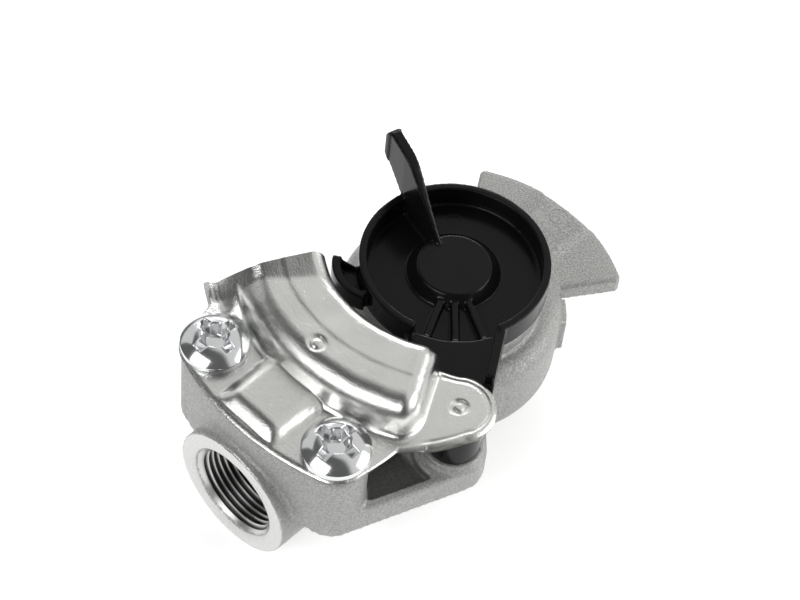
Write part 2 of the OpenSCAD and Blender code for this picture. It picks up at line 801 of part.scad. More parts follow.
module ribs() {
    for (i = [-1:1])
        rotate(pivot_angle + i * rib_angle)
            translate([boss_r, -rib_w / 2]) square([wall_mid_r - boss_r, rib_w]);
}

// Scoop beside the dish: floor, curved lip and the sloping wall at its tip
module lip() {
    root = lip_r / 3;
    reach = lip_r - lip_w / 2;
    translate([-lip_x, lip_y, 0]) {
        slab_between(lid_gap, lid_floor_z) ring_sector(0, reach, lip_from, lip_to);
        slab_between(lid_gap, lid_gap + lip_h) ring_sector(lip_r - lip_w, lip_r, lip_from, lip_to);
        rotate(lip_from) rotate([90, 0, 0]) translate([0, 0, -lip_w / 2 - sink])
            linear_extrude(lip_w / 2)
                polygon([[root, lid_floor_mid], [reach, lid_floor_mid],
                         [reach, lid_gap + lip_h - sink], [root, lid_floor_z + sink]]);
    }
}

// Side view of the lever: up from the boss, round the bend, out along the top
module lever_profile() {
    top = lid_rim_z + lever_h;
    tip = boss_z + lever_tip_h;
    slope = atan2(top - lever_rise - tip, lever_top_r - lever_in_r);
    rise = atan2(lever_rise, lever_out_r - lever_top_r);
    corner = [lever_top_r, top - lever_rise];
    shift = lever_bend_r * tan((slope - rise) / 2);
    centre = corner + shift * dir(rise) + lever_bend_r * dir(rise - 90);
    under = lid_rim_z + overhang_h;
    polygon(concat(
        [[lever_in_r, tip], [lever_in_r, lid_floor_z - eps], [wall_mid_r, lid_floor_z - eps]],
        [[wall_mid_r, lid_rim_z - dish_wall], [lever_out_r - bead_w, under], [lever_out_r, under + bead_w]],
        arc([lever_out_r - lever_corner_r, top - lever_corner_r], lever_corner_r, 0, rise + 90, 6),
        arc(centre, lever_bend_r, rise + 90, slope + 90, 10)));
}

// Plan of the lever: a tapering blade with a bead on its outer edge
module lever_plan() {
    half = lever_t / 2;
    tip = lever_tip_t / 2;
    bead = half + bead_t;
    polygon([[0, -tip], [lever_in_r, -tip], [dish_r, -half], [lever_out_r - bead_w, -half],
             [lever_out_r - bead_w, -bead], [lever_out_r, -bead], [lever_out_r, bead],
             [lever_out_r - bead_w, bead], [lever_out_r - bead_w, half], [dish_r, half],
             [lever_in_r, tip], [0, tip]]);
}

module lever() {
    rotate(lever_angle)
        intersection() {
            rotate([90, 0, 0]) translate([0, 0, -lever_t * 2]) linear_extrude(lever_t * 4) lever_profile();
            slab_between(0, lid_rim_z + 2 * lever_h) lever_plan();
        }
}

module hub_hollow() {
    slab_between(hub_z - over, hub_top + over) translate(pivot) circle(pin_r + pin_clear);
    slab_between(hub_top - dimple_room, hub_top + over) translate(pivot) circle(dimple_r + over);
    slab_between(hub_z - over, spring_top_z + wire_r + spring_clear)
        translate(pivot)
            difference() {
                circle(spring_out_r);
                circle(spring_in_r);
            }
    slab_between(spring_top_z, spring_top_z + leg_len + spring_clear)
        translate(pivot + spring_r * dir(360 * spring_turns)) circle(leg_hole_r);
}

module lid() {
    color(plastic_colour)
        difference() {
            union() {
                rotate_extrude() floor_profile();
                rim();
                difference() {
                    union() {
                        slab_between(lid_gap, lid_arm_z) arm_outline();
                        slab_between(lid_floor_z, lid_arm_z + arm_ridge_h) arm_ridge();
                    }
                    slab_between(lid_floor_mid, lid_rim_z + over) circle(arm_step_r);
                }
                slab_between(lid_floor_mid, lid_arm_z - rib_drop) ribs();
                slab_between(hub_z, hub_top) translate(pivot) circle(hub_r);
                lip();
                lever();
            }
            boss_hollow();
            hub_hollow();
        }
}

// Pivot pin, spring and seal

module pivot_pin() {
    color(steel_colour)
        slab_between(seat_z - pin_grip, hub_top - dimple_room) translate(pivot) circle(pin_r);
}

// Ring of points round the wire, spread along the radius and along a second direction
function wire_ring(at, turn, second) =
    [for (k = [0:wire_sides - 1])
        at + wire_r * (cos(360 * k / wire_sides) * [cos(turn), sin(turn), 0]
                       + sin(360 * k / wire_sides) * second)];

// Coil with one straight leg down into the seat and one up into the hub
module lid_spring() {
    up = [0, 0, 1];
    steps = spring_turns * 20;
    turns = [for (i = [0:steps]) 360 * spring_turns * i / steps];
    coil = [for (turn = turns) [spring_r * cos(turn), spring_r * sin(turn),
                                spring_z + spring_pitch * turn / 360]];
    back = [0, -1, 0];
    rings = concat(
        [wire_ring(coil[0] - leg_len * up, 0, back), wire_ring(coil[0], 0, up + back)],
        [for (i = [1:steps - 1]) wire_ring(coil[i], turns[i], up)],
        [wire_ring(coil[steps], 0, up + back), wire_ring(coil[steps] + leg_len * up, 0, back)]);
    last = len(rings) - 1;
    faces = concat(
        [[for (k = [0:wire_sides - 1]) k]],
        [for (i = [0:last - 1]) for (k = [0:wire_sides - 1])
            [i * wire_sides + k, (i + 1) * wire_sides + k,
             (i + 1) * wire_sides + (k + 1) % wire_sides, i * wire_sides + (k + 1) % wire_sides]],
        [[for (k = [wire_sides - 1:-1:0]) last * wire_sides + k]]);
    color(steel_colour)
        translate([pivot[0], pivot[1], 0])
            polyhedron([for (ring = rings) for (q = ring) q], faces, convexity = 8);
}

module seal_profile() {
    bead_at = (seal_in_r + seal_neck_r) / 2;
    translate([seal_in_r, -seal_h]) square([seal_r - seal_in_r, seal_flange_t]);
    translate([seal_in_r, -seal_h]) square([seal_neck_r - seal_in_r, seal_h - seal_bead_r]);
    translate([bead_at, -seal_bead_r]) circle(seal_bead_r);
}

module seal_ring() {
    color(rubber_colour) rotate_extrude() seal_profile();
}

body();
guide_plate();
screw_left();
screw_right();
lid();
pivot_pin();
lid_spring();
seal_ring();
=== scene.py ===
"""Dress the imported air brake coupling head: casting, pressed plate, screws, lid and a plain studio."""

import bmesh
import bpy
import numpy as np
from bpy.props import FloatProperty, FloatVectorProperty, IntProperty, PointerProperty
from bpy.types import Operator, Panel, PropertyGroup
from mathutils import Matrix, Vector


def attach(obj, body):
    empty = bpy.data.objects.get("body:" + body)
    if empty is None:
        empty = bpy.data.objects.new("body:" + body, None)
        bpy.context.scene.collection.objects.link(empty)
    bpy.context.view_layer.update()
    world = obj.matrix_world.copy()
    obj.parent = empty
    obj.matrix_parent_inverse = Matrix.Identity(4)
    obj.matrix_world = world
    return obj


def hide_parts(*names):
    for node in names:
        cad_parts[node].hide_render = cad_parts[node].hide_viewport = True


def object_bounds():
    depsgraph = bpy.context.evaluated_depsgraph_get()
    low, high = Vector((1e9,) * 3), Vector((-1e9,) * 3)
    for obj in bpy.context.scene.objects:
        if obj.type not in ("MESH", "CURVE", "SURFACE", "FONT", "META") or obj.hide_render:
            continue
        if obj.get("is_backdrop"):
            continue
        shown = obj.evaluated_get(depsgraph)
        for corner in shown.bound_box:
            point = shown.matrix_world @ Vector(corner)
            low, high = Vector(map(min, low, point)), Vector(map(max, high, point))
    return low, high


bl_info = {
    "name": "Air brake coupling head",
    "version": (1, 0, 0),
    "blender": (4, 5, 0),
    "location": "View3D > Sidebar > Coupling",
    "description": "Builds the visible pieces of a palm coupling around its packed solids",
    "category": "Object",
}

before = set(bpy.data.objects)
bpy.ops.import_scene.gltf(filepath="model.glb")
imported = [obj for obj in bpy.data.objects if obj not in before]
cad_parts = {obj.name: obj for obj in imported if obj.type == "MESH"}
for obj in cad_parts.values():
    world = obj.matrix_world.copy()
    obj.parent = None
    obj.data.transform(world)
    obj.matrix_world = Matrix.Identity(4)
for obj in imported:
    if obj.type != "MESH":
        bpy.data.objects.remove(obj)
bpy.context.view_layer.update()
MM = 0.001
MERGE = 2e-6


# Sizes and colours


def length(name, description, millimetres):
    """A length property in metres whose default is given in millimetres."""
    return FloatProperty(name=name, description=description, default=millimetres * MM,
                         min=0.0, precision=5, unit="LENGTH")


def number(name, description, value, unit="NONE"):
    """A plain number, or one with the given unit."""
    return FloatProperty(name=name, description=description, default=value, unit=unit)


def passes(description, count):
    """A whole number of smoothing passes."""
    return IntProperty(name="Rounds", description=description, default=count, min=0)


def colour(name, description, value):
    """A linear colour property."""
    return FloatVectorProperty(name=name, description=description, default=value,
                               size=3, min=0.0, max=1.0, subtype="COLOR")


class CastingSettings(PropertyGroup):
    """Sizes and colours of the cast head and its thread."""

    grid: length("Grid", "Mesh size of the casting's skin", 0.55)
    rounds: passes("Smoothing passes that round the cast edges", 1)
    port_face: length("Port face", "Distance from the seal's axis to the port's face", 69.0)
    port_drop: length("Port drop", "Drop from the coupling face to the port's axis", 17.1)
    minor_r: length("Minor radius", "Radius of the thread's crests", 10.19)
    major_r: length("Major radius", "Radius of the thread's roots", 11.0)
    mouth_r: length("Mouth radius", "Radius of the lead-in at the port's face", 12.2)
    pitch: length("Pitch", "Pitch of the thread", 1.5)
    thread_len: length("Thread length", "Depth of the thread from the port's face", 15.8)
    skin: colour("Cast skin", "Colour of the cast aluminium", (0.43, 0.43, 0.42))
    machined: colour("Machined", "Colour of the turned port", (0.66, 0.66, 0.65))


class PlateSettings(PropertyGroup):
    """Sizes and colours of the pressed guide plate. Angles are in degrees from the middle plane."""

    sheet_t: length("Sheet", "Thickness of the sheet", 2.4)
    inner_r: length("Inner radius", "Radius of the plateau's inner edge", 31.0)
    roll_w: length("Roll width", "Width over which the plateau's inner edge rolls down", 3.4)
    roll_drop: length("Roll drop", "Drop of the plateau's rolled inner edge", 3.2)
    crease_r: length("Crease radius", "Radius of the crease in the plateau", 40.7)
    crease_w: length("Crease width", "Width of the crease", 1.2)
    crease_drop: length("Crease drop", "Drop of the plateau outside the crease", 0.13)
    bend_r: length("Bend start", "Radius at which the plateau starts to bend down", 45.0)
    fold_r: length("Fold", "Radius of the convex fold at the plateau's edge", 5.6)
    foot_r: length("Foot", "Radius of the concave fold at the arch's foot", 1.8)
    wall_steep: number("Wall angle", "Slope of the arch's wall in degrees", 83.0)
    mouth_fold_r: length("Mouth fold", "Radius of the convex fold at the open end", 3.6)
    mouth_steep: number("Mouth angle", "Slope of the arch's wall at the open end in degrees", 49.0)
    closed_end: number("Closed end", "Angle of the arch's closed end", 29.0)
    closed_w: length("Closed width", "Width of the wall that closes the arch", 5.6)
    mouth_rise: number("Mouth rise", "Slope of the flared entry in degrees", 21.0)
    mouth_end: number("Mouth end", "Angle of the plateau's open end", 30.4)
    wing_end: number("Wing end", "Angle of the wing's corner", 35.5)
    front_r: length("Front radius", "Radius of the plate's front edge", 67.5)
    wing_r: length("Wing radius", "Radius of the wing's outer edge", 57.3)
    base_z: length("Base", "Height of the base's top", 8.0)
    plateau_z: length("Plateau", "Height of the plateau's top", 17.3)
    screw_x: length("Screw reach", "Distance from the seal's axis back to the screws", 56.7)
    screw_y: length("Screw offset", "Distance from the middle plane to each screw", 18.8)
    lobe_r: length("Lobe", "Radius of the sheet round each screw", 7.9)
    pivot_x: length("Pivot reach", "Distance from the seal's axis back to the lid's pivot", 29.0)
    pivot_y: length("Pivot offset", "Distance from the middle plane to the lid's pivot", 28.7)
    ear_r: length("Ear", "Radius of the ear over the pivot", 8.4)
    ear_angle: number("Ear start", "Angle at which the ear leaves the arch", 34.0)
    bump_h: length("Bump", "Height of the square bump", 2.2)
    bump_half: length("Bump half", "Half of the width of the bump at its foot", 8.7)
    bump_front: length("Bump front", "Distance from the seal's axis to the bump's front foot", 65.8)
    bump_slope: length("Bump slope", "Width of the bump's sloping sides", 3.9)
    rim_w: length("Rim width", "Width of the rolled rim", 1.4)
    rim_drop: length("Rim drop", "Drop of the rolled rim", 0.5)
    groove_in: length("Groove place", "Distance from the ear's rim to its groove", 1.7)
    groove_drop: length("Groove", "Depth of the groove along the ear's rim", 0.28)
    dent_r: length("Dent", "Radius of the ring pressed round each dent", 1.5)
    dent_drop: length("Dent depth", "Depth of the ring pressed round each dent", 0.45)
    dent_x: length("Dent reach", "Distance from the seal's axis back to the plateau's dent", 44.6)
    zinc: colour("Zinc", "Colour of the bright zinc plating", (0.82, 0.823, 0.805))


class ScrewSettings(PropertyGroup):
    """Sizes and colours of the two screws."""

    head_r: length("Head radius", "Radius of the head", 7.65)
    head_h: length("Head height", "Height of the head's straight side", 2.6)
    dome_h: length("Dome", "Height of the head's dome", 1.9)
    shank_r: length("Shank", "Radius of the shank", 4.0)
    shank_len: length("Shank length", "Length of the shank under the head", 18.0)
    recess_len: length("Recess length", "Length of the cross recess", 10.6)
    recess_w: length("Recess width", "Width of the cross recess", 3.2)
    recess_depth: length("Recess depth", "Depth of the cross recess", 2.9)
    hole_r: length("Hole", "Radius of the recess between its four wings", 3.3)
    zinc: colour("Zinc", "Colour of the plated screws", (0.83, 0.84, 0.85))


class LidSettings(PropertyGroup):
    """Sizes and colours of the moulded lid."""

    grid: length("Grid", "Mesh size of the lid's skin", 0.3)
    rounds: passes("Smoothing passes that round the moulded edges", 5)
    plastic: colour("Plastic", "Colour of the moulded plastic", (0.006, 0.006, 0.0065))


class StageSettings(PropertyGroup):
    """Camera and studio."""

    distance: length("Distance", "Distance from the lid's rim to the camera", 600.0)
    lens: number("Lens", "Focal length on a 36 mm sensor", 119.34, "CAMERA")
    shift_x: number("Shift X", "Sideways shift of the picture", -0.0694)
    shift_y: number("Shift Y", "Upward shift of the picture", -0.0524)
    rim_z: length("Rim height", "Height of the lid's rim above the coupling face", 7.6)
    floor: colour("Floor", "Colour of the floor", (0.9, 0.9, 0.9))
    floor_glow: number("Floor glow", "Brightness that makes the floor a white background", 0.5)
    floor_near: length("Near floor", "Distance up to which metal mirrors the white floor", 140.0)
    floor_far: length("Far floor", "Distance from which metal mirrors a dark floor", 300.0)
    key: number("Key", "Power of the softbox behind the part", 1.8, "POWER")
    fill: number("Fill", "Power of the side softboxes", 3.8, "POWER")
    front: number("Front", "Power of the softbox beside the camera", 3.7, "POWER")
    bright: number("Bright", "Brightness of the wall behind the part", 0.71)
    dark: number("Dark", "Brightness of the rest of the room", 0.12)


# Shaders


class Wire:
    """A socket of a node tree. Sums and products of wires and numbers add Math nodes."""

    def __init__(self, tree, socket=None):
        self.tree = tree
        self.socket = socket

    def node(self, kind, settings=None, inputs=None, out=0):
        """Add a node, set its settings, then give its sockets values or wires."""
        made = self.tree.nodes.new(kind)
        for name, value in (settings or {}).items():
            setattr(made, name, value)
        for name, value in (inputs or {}).items():
            if isinstance(value, Wire):
                self.tree.links.new(value.socket, made.inputs[name])
            else:
                made.inputs[name].default_value = value
        return Wire(self.tree, made.outputs[out]) if len(made.outputs) else Wire(self.tree)

    def also(self, out):
        """Another output of the node that this wire leaves."""
        return Wire(self.tree, self.socket.node.outputs[out])

    def math(self, operation, a, b):
        """One Math node on two values or wires."""
        return self.node("ShaderNodeMath", {"operation": operation}, {0: a, 1: b})

    def __add__(self, other):
        return self.math("ADD", self, other)

    def __radd__(self, other):
        return self.math("ADD", other, self)

    def __sub__(self, other):
        return self.math("SUBTRACT", self, other)

    def __rsub__(self, other):
        return self.math("SUBTRACT", other, self)

    def __mul__(self, other):
        return self.math("MULTIPLY", self, other)

    def __rmul__(self, other):
        return self.math("MULTIPLY", other, self)

    def __pow__(self, other):
        return self.math("POWER", self, other)


def fresh(name):
    """A new material with an empty tree, as a wire to add nodes to, and its object coordinates."""
    material = bpy.data.materials.new(name)
    material.use_nodes = True
    material.node_tree.nodes.clear()
    wire = Wire(material.node_tree)
    return material, wire, wire.node("ShaderNodeTexCoord", out="Object")


def axes(wire, place):
    """The three coordinates of a place."""
    x = wire.node("ShaderNodeSeparateXYZ", None, {"Vector": place}, "X")
    return x, x.also("Y"), x.also("Z")


def noise(wire, place, scale, detail=2.0, roughness=0.5):
    """Noise with scale waves in a metre."""
    return wire.node("ShaderNodeTexNoise", {"noise_dimensions": "3D"},
                     {"Vector": place, "Scale": scale, "Detail": detail, "Roughness": roughness}, "Fac")


def step_up(wire, value, low, high):
    """0 below low, 1 above high, smooth between."""
    return wire.node("ShaderNodeMapRange", {"interpolation_type": "SMOOTHSTEP"},
                     {"Value": value, "From Min": low, "From Max": high, "To Min": 0.0, "To Max": 1.0})


def within(wire, value, rise, top, fall, end):
    """1 in a band, 0 outside: it rises from rise to top and falls from fall to end."""
    return step_up(wire, value, rise, top) * (1 - step_up(wire, value, fall, end))


def blend(wire, factor, first, second):
    """Colour mix: first at 0, second at 1."""
    return wire.node("ShaderNodeMix", {"data_type": "RGBA"}, {0: factor, 6: first, 7: second}, 2)


def bump(wire, height, strength, distance):
    """Normals of a fine relief, with its depth as a distance."""
    return wire.node("ShaderNodeBump", None, {"Height": height, "Strength": strength, "Distance": distance})


def pin_marks(wire, place, centres, radius):
    """1 on the thin rings that ejector pins leave round each centre, 0 elsewhere."""
    marks = 0.0
    for x, y in centres:
        flat = wire.node("ShaderNodeVectorMath", {"operation": "MULTIPLY_ADD"},
                         {0: place, 1: (1.0, 1.0, 0.0), 2: (-x, -y, 0.0)}, "Vector")
        off = wire.node("ShaderNodeVectorMath", {"operation": "LENGTH"}, {0: flat}, "Value")
        away = wire.node("ShaderNodeMath", {"operation": "ABSOLUTE"}, {0: off - radius})
        marks = (1 - step_up(wire, away, 0.06 * MM, 0.28 * MM)) + marks
    return marks


def surface(wire, **sockets):
    """Principled surface with the given sockets, joined to the material's output."""
    shader = wire.node("ShaderNodeBsdfPrincipled", None, {k.replace("_", " "): v for k, v in sockets.items()})
    wire.node("ShaderNodeOutputMaterial", None, {"Surface": shader})


def shade(tint, share=1.0):
    """A share of a tint, as a colour with alpha."""
    return (*(share * c for c in tint), 1.0)


# The pocket in the arm's top, where shade is painted on the cast skin: its floor and rim, its ends at the
# screw block and at the pivot, its side by the cup, and the arm's outer wall, as the direction that it faces
# and its distance that way
POCKET_Z = (-11.6 * MM, -11.0 * MM, -9.4 * MM, -8.2 * MM)
POCKET_X = (-55.0 * MM, -53.0 * MM, -38.5 * MM, -36.5 * MM)
POCKET_Y = (-20.5 * MM, -18.5 * MM)
WALL_FACES = (-0.341, -0.939)
WALL_AT = (41.8 * MM, 42.4 * MM)


def painted_pocket_shade(wire, x, y, z):
    """1 in the pocket in the arm's top, where the cast skin gets painted shade, 0 elsewhere."""
    outward = x * WALL_FACES[0] + y * WALL_FACES[1]
    sides = (1 - step_up(wire, outward, *WALL_AT)) * (1 - step_up(wire, y, *POCKET_Y))
    return within(wire, z, *POCKET_Z) * within(wire, x, *POCKET_X) * sides


def cast_aluminium(s):
    """Sand-cast skin: grains and pits in colour and relief, painted shade in the pocket in the arm's top, a
    pin mark on the lug and bright turned rings on the port's face."""
    material, wire, place = fresh("cast_aluminium")
    grain = step_up(wire, noise(wire, place, 2200.0, 2.0, 0.7), 0.34, 0.68)
    cloud = noise(wire, place, 90.0, 2.0)
    x, y, z = axes(wire, place)
    drop = z + s.port_drop
    ring = (y * y + drop * drop) ** 0.5
    turned = 1 - step_up(wire, x, -s.port_face + 0.2 * MM, -s.port_face + 0.7 * MM)
    turned = turned * (1 - step_up(wire, ring, s.mouth_r + 3.4 * MM, s.mouth_r + 4.0 * MM))
    rings = wire.node("ShaderNodeMath", {"operation": "SINE"}, {0: ring * 18000.0})
    tone = blend(wire, grain * 0.8 + cloud * 0.25, shade(s.skin, 0.74), shade(s.skin, 1.22))
    tone = blend(wire, turned, tone, shade(s.machined))
    # Painted shade: the cast skin darkens towards 0.12 of its tint in the pocket in the arm's top
    tone = blend(wire, painted_pocket_shade(wire, x, y, z) * 0.8, tone, shade(s.skin, 0.12))
    mark = pin_marks(wire, place, [(38.2 * MM, 0.4 * MM)], 2.2 * MM)
    relief = grain * (1 - turned) + rings * turned * 0.05 - mark * 2.0
    surface(wire, Base_Color=tone, Metallic=0.5 + turned * 0.45,
            Roughness=0.55 - turned * 0.25 - grain * 0.15, Normal=bump(wire, relief, 0.42, 0.16 * MM))
    return material


def turned_thread(s):
    """Cut thread: bright crests and roots darkened with painted shade, by the distance from the port's axis.
    """
    material, wire, place = fresh("turned_thread")
    x, y, z = axes(wire, place)
    drop = z + s.port_drop
    ring = (y * y + drop * drop) ** 0.5
    root = step_up(wire, ring, s.minor_r + 0.1 * MM, s.major_r - 0.15 * MM)
    cone = 1 - step_up(wire, x, -s.port_face + 1.2 * MM, -s.port_face + 1.9 * MM)
    # Painted shade: the thread's roots darken to 0.12 of the machined tint, except on the lead-in cone
    tone = blend(wire, root * (1 - cone), shade(s.machined), shade(s.machined, 0.12))
    surface(wire, Base_Color=tone, Metallic=0.95, Roughness=0.24 + noise(wire, place, 1500.0) * 0.12)
    return material


def bright_zinc(name, tint, grain_scale, rough, relief):
    """Bright zinc plating: metal with a fine orange-peel grain and faint dull clouds."""
    material, wire, place = fresh(name)
    peel = noise(wire, place, grain_scale, 3.0, 0.6)
    cloud = noise(wire, place, 140.0, 3.0)
    tone = blend(wire, cloud * 0.7 + peel * 0.3, shade(tint, 0.86), shade(tint))
    surface(wire, Base_Color=tone, Metallic=1.0, Roughness=rough + cloud * 0.06 + peel * 0.08,
            Normal=bump(wire, peel, relief, 0.12 * MM))
    return material


def black_plastic(s):
    """Satin moulded plastic with a fine eroded texture and two pin marks in the dish."""
    material, wire, place = fresh("black_plastic")
    grain = noise(wire, place, 2400.0, 2.0)
    cloud = noise(wire, place, 120.0, 2.0)
    tone = blend(wire, cloud, shade(s.plastic, 0.8), shade(s.plastic, 1.25))
    mark = pin_marks(wire, place, [(10.5 * MM, 10.0 * MM), (0.8 * MM, -15.4 * MM)], 2.1 * MM)
    surface(wire, Base_Color=tone, Roughness=0.14 + cloud * 0.06 + grain * 0.04, Specular_IOR_Level=0.18,
            Normal=bump(wire, grain - mark * 1.5, 0.14, 0.1 * MM))
    return material


def plain(name, tint, metallic, rough, scale):
    """A quiet finish for the pieces inside: a tint with a fine grain."""
    material, wire, place = fresh(name)
    grain = noise(wire, place, scale, 2.0)
    tone = blend(wire, grain, shade(tint, 0.85), shade(tint, 1.1))
    surface(wire, Base_Color=tone, Metallic=metallic, Roughness=rough + grain * 0.1,
            Normal=bump(wire, grain, 0.15, 0.1 * MM))
    return material


# Surfaces

# Angles on the plate in degrees from the middle plane: where the grid's rows fan out to the open end,
# where they close up for the arch's closed end, where the ear has an inner edge and rows of its own,
# and where the outline rounds the pivot
FAN_FROM = 18.0
CLOSED_FROM = 23.0
EDGE_FROM = 33.0
EAR_FROM = 37.0
ROUND_FROM = 44.0
# Rows of the grid in each of these stretches, and its columns on the plateau, the bend and the base
ROWS = (70, 70, 84, 56)
COLUMNS = (46, 60, 44)
# Angle at which the arch's wall starts to lean out, and the angle that this takes
LEAN_FROM = 19.0
LEAN_OVER = 12.0
# Bend line of the flared entry: its first angle, what it gains outwards, from which radius, over what
FLARE_FROM = 21.4
FLARE_GAIN = 5.6
FLARE_R = 34.0 * MM
FLARE_W = 12.6 * MM
# Angle and height in millimetres of each crease across the wing
WING_CREASES = ((25.0, 0.2), (29.0, -0.25), (32.5, 0.15))
# Slope of the screw's dome in degrees, at shares of the head's radius
DOME_SHARE = (0.0, 0.4, 0.55, 0.68, 0.82, 0.94, 1.0)
DOME_TILT = (0.0, 5.0, 11.0, 25.0, 37.0, 44.0, 50.0)


def smooth(value):
    """Smooth step of an array: 0 below 0, 1 above 1."""
    t = np.clip(value, 0.0, 1.0)
    return t * t * (3.0 - 2.0 * t)


def new_piece(name, points, faces, material, body, node):
    """Put points in metres and faces into a smooth mesh that stands for a CAD node and rides its body."""
    mesh = bpy.data.meshes.new(name)
    mesh.from_pydata(points, [], faces)
    mesh.validate()
    mesh.shade_smooth()
    piece = bpy.data.objects.new(name, mesh)
    bpy.context.scene.collection.objects.link(piece)
    mesh.materials.append(material)
    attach(piece, body)
    if node:
        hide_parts(node)
    return piece


def grid_faces(rows, columns, wrap=False):
    """Quads of a grid of rows by columns, closed in the column direction if asked."""
    i, j = np.meshgrid(np.arange(rows - 1), np.arange(columns if wrap else columns - 1), indexing="ij")
    k = (j + 1) % columns
    return np.stack([i * columns + j, i * columns + k, (i + 1) * columns + k, (i + 1) * columns + j],
                    axis=-1).reshape(-1, 4)


def rounded_copy(node, name, grid, rounds, shape=None):
    """Copy of a node's mesh, merged, changed by shape, then given an even skin with rounded edges."""
    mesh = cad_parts[node].data.copy()
    mesh.name = name
    mesh.materials.clear()
    work = bmesh.new()
    work.from_mesh(mesh)
    bmesh.ops.remove_doubles(work, verts=work.verts, dist=MERGE)
    work.to_mesh(mesh)
    work.free()
    if shape:
        points = np.empty(len(mesh.vertices) * 3, np.float32)
        mesh.vertices.foreach_get("co", points)
        mesh.vertices.foreach_set("co", shape(points.reshape(-1, 3).astype(float)).astype(np.float32).ravel())
    piece = bpy.data.objects.new(name, mesh)
    bpy.context.scene.collection.objects.link(piece)
    skin = piece.modifiers.new("Skin", "REMESH")
    skin.mode = "VOXEL"
    skin.voxel_size = grid
    skin.use_smooth_shade = True
    ease = piece.modifiers.new("Ease", "SMOOTH")
    ease.factor = 0.5
    ease.iterations = rounds
    return piece


def thread_points(s):
    """Inside thread round the port's axis: radius = crest + depth * V(x / pitch - angle / turn),
    never less than the lead-in cone, on a grid of turns by steps along the axis."""
    around = np.linspace(0.0, 2 * np.pi, 121)[:-1]
    along = np.linspace(-s.port_face + 0.25 * MM, -s.port_face + s.thread_len, 260)
    x, turn = np.meshgrid(along, around, indexing="ij")
    phase = (x / s.pitch - turn / (2 * np.pi)) % 1.0
    vee = np.clip(1.25 - 2.5 * np.abs(phase - 0.5), 0.0, 1.0)
    radius = s.minor_r + (s.major_r - s.minor_r) * vee
    radius = np.maximum(radius, s.mouth_r - (x + s.port_face))
    return np.stack([x, radius * np.cos(turn), radius * np.sin(turn) - s.port_drop], axis=-1)


def plate_outline(s):
    """Outer and inner edge of the plate as arrays of (angle, radius) from the middle plane: arcs round
    the seal's axis, the screws and the pivot, with a corner between the right screw and the ear."""
    def arc(centre, r, start, stop, steps):
        t = np.radians(np.linspace(start, stop, steps))
        return np.stack([centre[0] + r * np.cos(t), centre[1] + r * np.sin(t)], axis=-1)

    axis = (0.0, 0.0)
    spread = np.degrees(np.arctan2(s.screw_y, s.screw_x))
    left, right = np.array([-s.screw_x, s.screw_y]), np.array([-s.screw_x, -s.screw_y])
    pivot = np.array([-s.pivot_x, -s.pivot_y])
    neck = right + [9.5 * MM, -s.lobe_r - 0.9 * MM]
    outer = np.vstack([
        arc(axis, s.wing_r, 144.0, 151.0, 8), arc(left, s.lobe_r, 90.0, 180.0 - spread, 14),
        arc(axis, s.front_r, 180.0 - spread, 180.0 + spread, 24),
        arc(right, s.lobe_r, 180.0 + spread, 270.0, 14), [neck], arc(pivot, s.ear_r, 236.0, 314.7, 60)])
    inner = np.vstack([arc(axis, s.inner_r, 180.0, 216.0, 20), arc(pivot, s.ear_r, 404.0, 314.7, 60)])
    return [(np.degrees(np.arctan2(-p[:, 1], -p[:, 0])), np.hypot(p[:, 0], p[:, 1])) for p in (outer, inner)]


def fold_line(s, fold_r, steep):
    """The arch's wall in section, as rising distances out from the plateau's edge and the share of
    the arch's height left there: a convex fold, a line at the steep angle and a concave foot."""
    steep = np.radians(steep)
    t = np.linspace(0.0, steep, 24)
    high = s.plateau_z - s.base_z
    line = (high - (fold_r + s.foot_r) * (1 - np.cos(steep))) / np.tan(steep)
    out = np.concatenate([fold_r * np.sin(t), fold_r * np.sin(steep) + line
                          + s.foot_r * (np.sin(steep) - np.sin(t[::-1]))])
    left = np.concatenate([high - fold_r * (1 - np.cos(t)), s.foot_r * (1 - np.cos(t[::-1]))])
    return out, left / high


def arch_lift(s, x, y, radius, angle):
    """Share of the arch's height at each point: 1 on the plateau, then down the fold line by the distance
    outside the bend and past the closed end, and down a leaning one by the open end."""
    out, left = fold_line(s, s.fold_r, s.wall_steep)
    closed = np.radians(s.closed_end)
    past_end = (x * np.sin(closed) - y * np.cos(closed)) * out[-1] / s.closed_w
    wall = radius - s.bend_r
    corner = (wall > 0) & (past_end > 0)
    lift = np.interp(np.where(corner, np.hypot(wall, past_end), np.maximum(wall, past_end)), out, left)
    leaning = np.interp(wall, *fold_line(s, s.mouth_fold_r, s.mouth_steep))
    return lift + (leaning - lift) * smooth((-angle - LEAN_FROM) / LEAN_OVER)


def flare(s, radius, angle):
    """Height of the flared entry: a slope past a bend line that runs askew, eased along the line."""
    line = FLARE_FROM + FLARE_GAIN * np.clip((radius - FLARE_R) / FLARE_W, 0.0, 1.0)
    past = (-angle - line) * np.pi / 180.0 * radius
    rise = 0.5 * (past + np.hypot(past, 0.9 * MM)) - 0.12 * MM * np.exp(-(past / MM) ** 2)
    return np.tan(np.radians(s.mouth_rise)) * np.maximum(rise, 0.0)


def add_bump(s, x, y, z):
    """Heights with the square bump: parabolas up three sides, joined to the arch by a smooth maximum
    that is widest at the arch's foot."""
    across = np.clip((s.bump_half - np.abs(y)) / s.bump_slope, 0, 1)
    along = np.clip((x + s.bump_front) / s.bump_slope, 0, 1)
    raised = s.base_z + s.bump_h * (1 - (1 - across) ** 2) * (1 - (1 - along) ** 2)
    near = 1.8 * MM * smooth((x + 56.0 * MM) / (3.0 * MM)) + 0.01 * MM
    share = np.clip(0.5 + 0.5 * (z - raised) / near, 0.0, 1.0)
    joined = raised + (z - raised) * share + near * share * (1 - share)
    return np.where((x < -s.bend_r) & (raised > s.base_z), np.maximum(z, joined), z)


